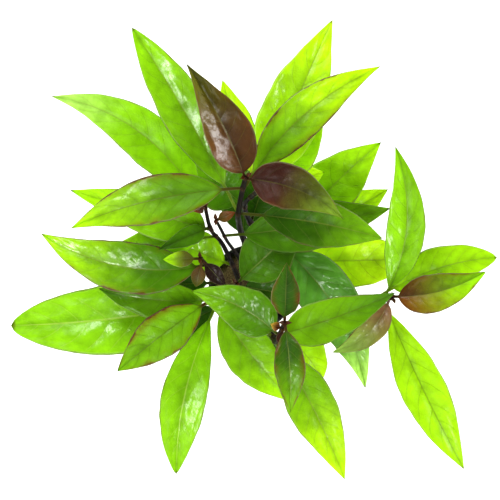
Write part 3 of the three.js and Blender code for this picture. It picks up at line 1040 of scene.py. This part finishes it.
# %% Grow the stems
for stem_name, stem_row in PLANT.items():
    node = f"{stem_name}_stem"
    line = stem_line(node, stem_row)
    bark = grow(f"{node}_bark", STEM, STEM_SIZES, STEM_FINISH, line)
    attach(bark, "root")
    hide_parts(node)
print("stems grown:", len(PLANT))


# %% [markdown]
# Side shoots have just opened on some of the stems: tiny folded leaves, brown or red. They come
# from the same leaf tree, with fewer rings, because they are only a few millimetres wide. Every
# stem also ends in a pair of leaves that hasn't opened yet, the growing point of the shoot.

# %% The unopened leaves at a stem's tip
CROWN_LEAF = 6
CROWN_WIDTH = 2.4
CROWN_RISE = 3.5
CROWN_REACH = 0.6
CROWN_BELOW_TIP = 0.4


def crown_leaves(stem_row, tone):
    path = stem_row["path"]
    top = spline_point(path, 1.0)
    heading = Vector(stem_row["leaves"][0]["tip"]) - top
    heading.z = 0
    heading = Vector((-heading.y, heading.x, 0)).normalized()
    at = path[-1][2] - CROWN_BELOW_TIP
    for side in (1, -1):
        tip = top + heading * side * CROWN_LEAF * CROWN_REACH + Vector((0, 0, CROWN_RISE))
        yield leaf(tone, tone, at, tuple(tip), CROWN_WIDTH, petiole=0.6, arch=0.8, fold=34, wave=0,
                   rib_light=0.5, rings=30)


print("an unopened leaf is", CROWN_WIDTH, "mm wide")

# %% Grow the young shoots
SHOOT_SEED = 0.73

small = 0
for stem_name, stem_row in PLANT.items():
    for number, row in enumerate(stem_row["buds"], 1):
        small += 1
        shoot = grow_leaf(f"{stem_name}_side_shoot_{number}", stem_row, row, 0.0, small * SHOOT_SEED)
    for number, row in enumerate(crown_leaves(stem_row, MAROON), 1):
        small += 1
        shoot = grow_leaf(f"{stem_name}_crown_leaf_{number}", stem_row, row, 0.0, small * SHOOT_SEED)
print("young leaves grown:", small)


# %% [markdown]
# The plant is rooted in a plug of mineral wool. The plug itself is a turned shape pushed about by
# noise, and the wool that makes it look like wool is on its skin: thousands of short crooked
# fibres, laid nearly flat and turned at random. One short fibre is made once and then instanced,
# and a fixed seed keeps the same fibres on every run. A Random Value node has its sockets once
# for each kind of value, so the ones for a plain number are named by their places.

# %% The wool's sizes
WOOL_TOP = 47
WOOL_LOW = 2.2
WOOL_INSET = 1.6
POT_HEIGHT = 50
FOOT_RADIUS = 19
BODY_RADIUS = 23
WOOL_SIZES = {
    "Lumps": 0.9, "Fibres": 55.0, "Fibre length": 5.0, "Fibre radius": 0.07, "Lift": 0.16, "Seed": 5,
}


def pot_radius(height):
    return FOOT_RADIUS + (BODY_RADIUS - FOOT_RADIUS) * height / POT_HEIGHT


print("fibres on each square centimetre:", WOOL_SIZES["Fibres"])

# %% The plug as a turned shape
SHOULDER = 3
SIDE_STEPS = 16
FOOT_SHARES = (0.1, 0.4, 0.7, 0.9)
TOP_SHARES = (0.97, 0.9, 0.8, 0.65, 0.5, 0.35, 0.2, 0.1)


def ring_place(radius, angle, height):
    return Vector((radius * math.cos(angle), radius * math.sin(angle), height)) * MM


def plain_mesh(shape, name):
    mesh = bpy.data.meshes.new(name)
    shape.to_mesh(mesh)
    shape.free()
    return mesh


def turned_mesh(name, outline, sides):
    turned = bmesh.new()
    rings = []
    for radius, height in outline:
        ring = []
        for side in range(sides):
            angle = 2 * math.pi * side / sides
            ring.append(turned.verts.new(ring_place(radius, angle, height)))
        rings.append(ring)
    for low, high in zip(rings, rings[1:]):
        for side in range(sides):
            after = (side + 1) % sides
            turned.faces.new((low[side], low[after], high[after], high[side]))
    turned.faces.new(rings[0][::-1])
    turned.faces.new(rings[-1])
    return plain_mesh(turned, name)


def wool_outline():
    low = pot_radius(WOOL_LOW) - WOOL_INSET
    high = pot_radius(WOOL_TOP) - WOOL_INSET
    tall = WOOL_TOP - SHOULDER - WOOL_LOW
    foot = [(low * share, WOOL_LOW) for share in FOOT_SHARES]
    side = [(low + (high - low) * step / SIDE_STEPS, WOOL_LOW + tall * step / SIDE_STEPS)
            for step in range(SIDE_STEPS + 1)]
    top = [(high * share, WOOL_TOP - SHOULDER * share ** 6) for share in TOP_SHARES]
    return foot + side + top


print("the wool plug has", len(wool_outline()), "rings")

# %% One crooked fibre
def crooked_fibre(nodes, size):
    line = nodes.out("GeometryNodeCurvePrimitiveBezierSegment", {}, {
        "Resolution": 4, "Start": (-0.5, 0, 0), "Start Handle": (-0.2, 0.25, 0.05),
        "End Handle": (0.2, -0.2, 0.08), "End": (0.5, 0.05, 0),
    })
    long = nodes.vector("SCALE", {0: (1, 1, 1), "Scale": size["Fibre length"] * MM})
    line = nodes.out("GeometryNodeTransform", {}, {"Geometry": line, "Scale": long})
    ring = nodes.out("GeometryNodeCurvePrimitiveCircle", {}, {
        "Resolution": 3, "Radius": size["Fibre radius"] * MM,
    })
    return nodes.out("GeometryNodeCurveToMesh", {}, {
        "Curve": line, "Profile Curve": ring, "Fill Caps": True,
    })


print("a fibre is", WOOL_SIZES["Fibre length"], "mm long before it is scaled")

# %% The wool tree
LUMP_SCALE = 260
ONE_PER_CM2 = 10000
SHORTEST = 0.5
LONGEST = 1.3
LEAST_NUMBER = 2
MOST_NUMBER = 3
NUMBER_OUT = 1


def wool_tree():
    nodes, size = new_tree("mineral_wool_plug", WOOL_SIZES, takes_shape=True)
    spot = nodes.out("GeometryNodeInputPosition")
    normal = nodes.out("GeometryNodeInputNormal")
    rough = nodes.noise(spot, LUMP_SCALE, 3.0)
    inward = normal * ((rough - 0.75) * size["Lumps"] * MM)
    plug = nodes.out("GeometryNodeSetPosition", {}, {"Geometry": size["Geometry"], "Offset": inward})
    plug = nodes.smooth(plug)

    points = nodes.node("GeometryNodeDistributePointsOnFaces", {}, {
        "Mesh": plug, "Density": size["Fibres"] * ONE_PER_CM2, "Seed": size["Seed"],
    })
    spin = nodes.out("FunctionNodeRandomValue", {"data_type": "FLOAT_VECTOR"}, {
        "Min": (-1, -1, -1), "Max": (1, 1, 1), "Seed": size["Seed"],
    })
    facing = Wire(nodes, points.outputs["Normal"])
    lifted = nodes.unit(nodes.square_to(facing, spin)) + facing * size["Lift"]
    along = nodes.out("FunctionNodeAlignRotationToVector", {"axis": "X"}, {"Vector": lifted})
    grown = nodes.out("FunctionNodeRandomValue", {"data_type": "FLOAT"}, {
        LEAST_NUMBER: SHORTEST, MOST_NUMBER: LONGEST, "Seed": size["Seed"],
    }, NUMBER_OUT)
    fibres = nodes.out("GeometryNodeInstanceOnPoints", {}, {
        "Points": Wire(nodes, points.outputs["Points"]), "Instance": crooked_fibre(nodes, size),
        "Rotation": along, "Scale": grown,
    })
    fibres = nodes.out("GeometryNodeRealizeInstances", {}, {0: fibres})
    fibres = nodes.store(fibres, "fibre", 1.0)
    whole = nodes.node("GeometryNodeJoinGeometry")
    nodes.join(plug, whole.inputs[0])
    nodes.join(fibres, whole.inputs[0])
    return end_tree(nodes, Wire(nodes, whole.outputs[0]), size["Finish"])


WOOL = wool_tree()
print("the wool tree has", len(WOOL.nodes), "nodes")

# %% The wool finish
DAMP_SCALE = 75
FUZZ_SCALE = 1400
FUZZ_DEPTH = 0.0006
WOOL_TAN = paint(112, 92, 58)
WOOL_DAMP = paint(66, 48, 30)
WOOL_PALE = paint(160, 140, 96)
FIBRE_TAN = paint(176, 158, 112)


def wool_finish():
    material, nodes = new_finish("mineral_wool")
    place = nodes.own_place()
    damp = nodes.noise(place, DAMP_SCALE, 3.0)
    fuzz = nodes.noise(place, FUZZ_SCALE, 5.0)
    wool = nodes.mix(nodes.ease(damp, 0.35, 0.65), WOOL_TAN, WOOL_DAMP)
    wool = nodes.mix(nodes.ease(fuzz, 0.45, 0.75) * 0.5, wool, WOOL_PALE)
    wool = nodes.mix(attribute(nodes, "fibre") * 0.5, wool, FIBRE_TAN)
    bump = nodes.bump(fuzz, 0.8, FUZZ_DEPTH)
    end_finish(nodes, {"Base Color": wool, "Roughness": 0.75 + fuzz * 0.2, "Normal": bump})
    return material


WOOL_FINISH = wool_finish()
print("the wool finish has", len(WOOL_FINISH.node_tree.nodes), "nodes")

# %% Grow the wool
WOOL_COLUMNS = 96

turned_plug = turned_mesh("wool", wool_outline(), WOOL_COLUMNS)
plug = grow("wool_plug", WOOL, WOOL_SIZES, WOOL_FINISH, turned_plug)
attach(plug, "root")
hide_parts("growing_medium")
print("wool faces:", len(plug.data.polygons))


# %% [markdown]
# The pot is a small net pot, moulded in black plastic: a tapered cup with a rim band, slots down
# its side for the roots, and more through its floor. Its skin is turned as one closed outline, up
# the outside and down the inside, with more columns where the slots are. The faces of the slots
# are left out on both skins and the gap between them is bridged, so the walls of each slot are
# real, and a small bevel softens every moulded edge.

# %% The pot's outline
POT_WALL = 1.2
RIM_RADIUS = 25
RIM_BAND = 3.5
BAND_FOOT = POT_HEIGHT - RIM_BAND
FLOOR_THICKNESS = 1.6
SLOT_LOW = 7
SLOT_HIGH = 39
FLOOR_SLOT_INNER = 9
FLOOR_SLOT_OUTER = 16
SIDE_HEIGHTS = (3.5, SLOT_LOW, 12, 18, 23, 28, 34, SLOT_HIGH, 43, BAND_FOOT)
FLOOR_RADII = (FOOT_RADIUS - POT_WALL, FLOOR_SLOT_OUTER, FLOOR_SLOT_INNER)


def pot_outline():
    outer = [(FLOOR_SLOT_INNER, 0), (FLOOR_SLOT_OUTER, 0), (FOOT_RADIUS, 0)]
    outer += [(pot_radius(height), height) for height in SIDE_HEIGHTS]
    rim = [(RIM_RADIUS, BAND_FOOT), (RIM_RADIUS, POT_HEIGHT), (RIM_RADIUS - POT_WALL, POT_HEIGHT)]
    inner = [(pot_radius(height) - POT_WALL, height) for height in SIDE_HEIGHTS[::-1]]
    inner += [(radius, FLOOR_THICKNESS) for radius in FLOOR_RADII]
    return outer + rim + inner


print("the pot's outline has", len(pot_outline()), "points")

# %% The pot's columns, and the round ends of its slots
SLOTS = 12
SLOT_HALF = 1.8
ACROSS_SLOT = (-SLOT_HALF, -1.56, -0.9, 0.0, 0.9, 1.56, SLOT_HALF)
COLUMNS = len(ACROSS_SLOT) + 3
FIRST_COLUMN = 2
LAST_COLUMN = 7


def pot_columns(radius):
    half_sector = math.pi / SLOTS
    slot = [math.asin(x / radius) for x in ACROSS_SLOT]
    between = (half_sector + slot[-1]) / 2
    return [-half_sector, -between, *slot, between]


def slot_end(value, low, high, x):
    inset = SLOT_HALF - math.sqrt(max(SLOT_HALF ** 2 - x ** 2, 0))
    if value == low:
        return value + inset
    return value - inset if value == high else value


def pot_point(radius, height, sector, column):
    turn = (sector + 0.5) * 2 * math.pi / SLOTS
    angle = turn + pot_columns(radius)[column]
    if FIRST_COLUMN <= column <= LAST_COLUMN + 1:
        x = ACROSS_SLOT[column - FIRST_COLUMN]
        if height in (0, FLOOR_THICKNESS):
            radius = slot_end(radius, FLOOR_SLOT_INNER, FLOOR_SLOT_OUTER, x)
        else:
            height = slot_end(height, SLOT_LOW, SLOT_HIGH, x)
    return ring_place(radius, angle, height)


print("the pot's skin has", SLOTS * COLUMNS, "columns")

# %% Which faces a slot leaves out, and the walls that close it
def is_slot(outline, row, sector, column):
    if not FIRST_COLUMN <= column <= LAST_COLUMN:
        return False
    (r0, z0), (r1, z1) = outline[row], outline[row + 1]
    side = min(z0, z1) >= SLOT_LOW and max(z0, z1) <= SLOT_HIGH
    level = z0 == z1 and z0 < SLOT_LOW
    floor = level and (min(r0, r1), max(r0, r1)) == (FLOOR_SLOT_INNER, FLOOR_SLOT_OUTER)
    return side or (floor and sector % 2 == 0)


def wall_slot(skin, rows, outline, row, place):
    sector, column = divmod(place, COLUMNS)
    after = (place + 1) % len(rows[row])
    mirror = len(rows) - 1 - row
    outer, outer_next = rows[row], rows[row + 1]
    inner, inner_next = rows[mirror], rows[mirror - 1]
    if not is_slot(outline, row - 1, sector, column):
        skin.faces.new((outer[place], inner[place], inner[after], outer[after]))
    if not is_slot(outline, row + 1, sector, column):
        skin.faces.new((outer_next[after], inner_next[after], inner_next[place], outer_next[place]))
    if column == FIRST_COLUMN:
        skin.faces.new((outer[place], outer_next[place], inner_next[place], inner[place]))
    if column == LAST_COLUMN:
        skin.faces.new((outer_next[after], outer[after], inner[after], inner_next[after]))


slot_rows = [row for row in range(len(pot_outline()) // 2)
             if is_slot(pot_outline(), row, 1, FIRST_COLUMN)]
print("a side slot is", len(slot_rows), "faces high")

# %% The pot's skin
def pot_mesh():
    outline = pot_outline()
    skin = bmesh.new()
    rows = [[skin.verts.new(pot_point(radius, height, sector, column))
             for sector in range(SLOTS) for column in range(COLUMNS)] for radius, height in outline]
    around = SLOTS * COLUMNS
    last = len(rows) - 1
    for row in range(last):
        for place in range(around):
            after = (place + 1) % around
            if not is_slot(outline, row, *divmod(place, COLUMNS)):
                here, ahead = rows[row], rows[row + 1]
                skin.faces.new((here[place], here[after], ahead[after], ahead[place]))
    for row in range(last // 2):
        for place in range(around):
            if is_slot(outline, row, *divmod(place, COLUMNS)):
                wall_slot(skin, rows, outline, row, place)
    skin.faces.new(rows[0][::-1])
    skin.faces.new(rows[-1])
    bmesh.ops.recalc_face_normals(skin, faces=skin.faces)
    open_edges = [edge for edge in skin.edges if not edge.is_manifold]
    print("pot's open edges:", len(open_edges), "volume in cm3:", round(skin.calc_volume() * 1e6, 2))
    return plain_mesh(skin, "pot")


draft = pot_mesh()
print("pot faces before the bevel:", len(draft.polygons))

# %% The pot's finish
GRAIN_SCALE = 2600
SMUDGE_SCALE = 60
GRAIN_DEPTH = 0.0002
PLASTIC_BLACK = paint(12, 12, 13)
PLASTIC_DUSTY = paint(28, 27, 26)


def pot_finish():
    material, nodes = new_finish("pot_plastic")
    place = nodes.own_place()
    grain = nodes.noise(place, GRAIN_SCALE, 2.0)
    smudge = nodes.noise(place, SMUDGE_SCALE, 4.0)
    plastic = nodes.mix(nodes.ease(smudge, 0.4, 0.75), PLASTIC_BLACK, PLASTIC_DUSTY)
    bump = nodes.bump(grain, 0.15, GRAIN_DEPTH)
    end_finish(nodes, {"Base Color": plastic, "Roughness": 0.36 + smudge * 0.25, "Normal": bump})
    return material


POT_FINISH = pot_finish()
print("the pot finish has", len(POT_FINISH.node_tree.nodes), "nodes")

# %% Bevel the pot's moulded edges
BEVEL_WIDTH = 0.22
BEVEL_STEPS = 2
BEVEL_ANGLE = 35
SHARP_ANGLE = 40


def bevelled(name, mesh, finish):
    helper = put_in_scene("helper", mesh)
    bevel = helper.modifiers.new("bevel", "BEVEL")
    bevel.width = BEVEL_WIDTH * MM
    bevel.segments = BEVEL_STEPS
    bevel.limit_method = "ANGLE"
    bevel.angle_limit = math.radians(BEVEL_ANGLE)
    piece = keep_shape(helper, name)
    piece.data.materials.append(finish)
    piece.data.polygons.foreach_set("use_smooth", [True] * len(piece.data.polygons))
    piece.data.set_sharp_from_angle(angle=math.radians(SHARP_ANGLE))
    return piece


net_pot = bevelled("net_pot", draft, POT_FINISH)
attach(net_pot, "root")
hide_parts("pot")
print("pot faces:", len(net_pot.data.polygons))


# %% [markdown]
# The plant stands on a plain white sweep: a floor that bends up into a wall all round. It keeps
# the low views white as well, and its pale light reaches the leaves from every side. The floor
# glows a little, as a lit table does, so that it stays as white as the background of a catalogue
# picture. Five soft lamps hang at the back, left, front and right and overhead. They are small
# enough for the waxy coat to mirror them as patches, and those are the white gloss on the leaves.

# %% The white sweep
FLOOR_RADIUS = 2200
SWEEP_RADIUS = 600
WALL_HEIGHT = 2400
SWEEP_STEPS = 12
FLOOR_SIDES = 64
WELD = 1e-5
FLOOR_GLOW = 0.35
TABLE_WHITE = (0.9, 0.9, 0.9, 1.0)
PURE_WHITE = (1.0, 1.0, 1.0, 1.0)


def sweep_outline():
    steps = [step / SWEEP_STEPS * math.pi / 2 for step in range(SWEEP_STEPS + 1)]
    bend = [(FLOOR_RADIUS + SWEEP_RADIUS * math.sin(turn), SWEEP_RADIUS * (1 - math.cos(turn)))
            for turn in steps]
    return [(0, 0), *bend, (FLOOR_RADIUS + SWEEP_RADIUS, WALL_HEIGHT)]


def floor_piece():
    sweep = bmesh.new()
    line = [sweep.verts.new((radius * MM, 0, height * MM)) for radius, height in sweep_outline()]
    edges = [sweep.edges.new(pair) for pair in zip(line, line[1:])]
    bmesh.ops.spin(sweep, geom=line + edges, axis=(0, 0, 1), angle=2 * math.pi, steps=FLOOR_SIDES)
    bmesh.ops.remove_doubles(sweep, verts=sweep.verts, dist=WELD)
    mesh = plain_mesh(sweep, "floor")
    mesh.polygons.foreach_set("use_smooth", [True] * len(mesh.polygons))
    floor = put_in_scene("floor", mesh)
    material, nodes = new_finish("white_table")
    end_finish(nodes, {
        "Base Color": TABLE_WHITE, "Roughness": 0.9,
        "Emission Color": PURE_WHITE, "Emission Strength": FLOOR_GLOW,
    })
    mesh.materials.append(material)
    return floor


floor_piece()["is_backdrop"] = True
print("the sweep's line has", len(sweep_outline()), "points")

# %% The lamps
LIT_POINT = Vector((0, 0, 0.1))


def soft_light(name, place, side, watts):
    lamp = bpy.data.lights.new(name, "AREA")
    lamp.size = side
    lamp.energy = watts
    light = put_in_scene(name, lamp)
    light.location = place
    light.rotation_euler = (LIT_POINT - light.location).to_track_quat("-Z", "Y").to_euler()


soft_light("back", (-0.6, 1.0, 1.12), 0.6, 11.8)
soft_light("left", (-0.7, -0.42, 1.15), 0.42, 6.6)
soft_light("front", (0.07, -0.8, 1.15), 0.38, 4.8)
soft_light("right", (1.3, 0.1, 0.6), 0.7, 7.5)
soft_light("overhead", (0.28, 0.02, 1.45), 0.2, 1.2)

print("lamps:", len(bpy.data.lights))

# %% The room's own light, and the picture's contrast
ROOM_LIGHT = 0.1

world = bpy.data.worlds.new("studio")
world.use_nodes = True
world.node_tree.nodes["Background"].inputs["Color"].default_value = PURE_WHITE
world.node_tree.nodes["Background"].inputs["Strength"].default_value = ROOM_LIGHT
bpy.context.scene.world = world
bpy.context.scene.view_settings.view_transform = "Standard"
bpy.context.scene.view_settings.look = "Medium High Contrast"
print("look:", bpy.context.scene.view_settings.look)

# %% Show the frame's box and the scene's box, and finish
[[list(corner) for corner in box] for box in (cad_box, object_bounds())]
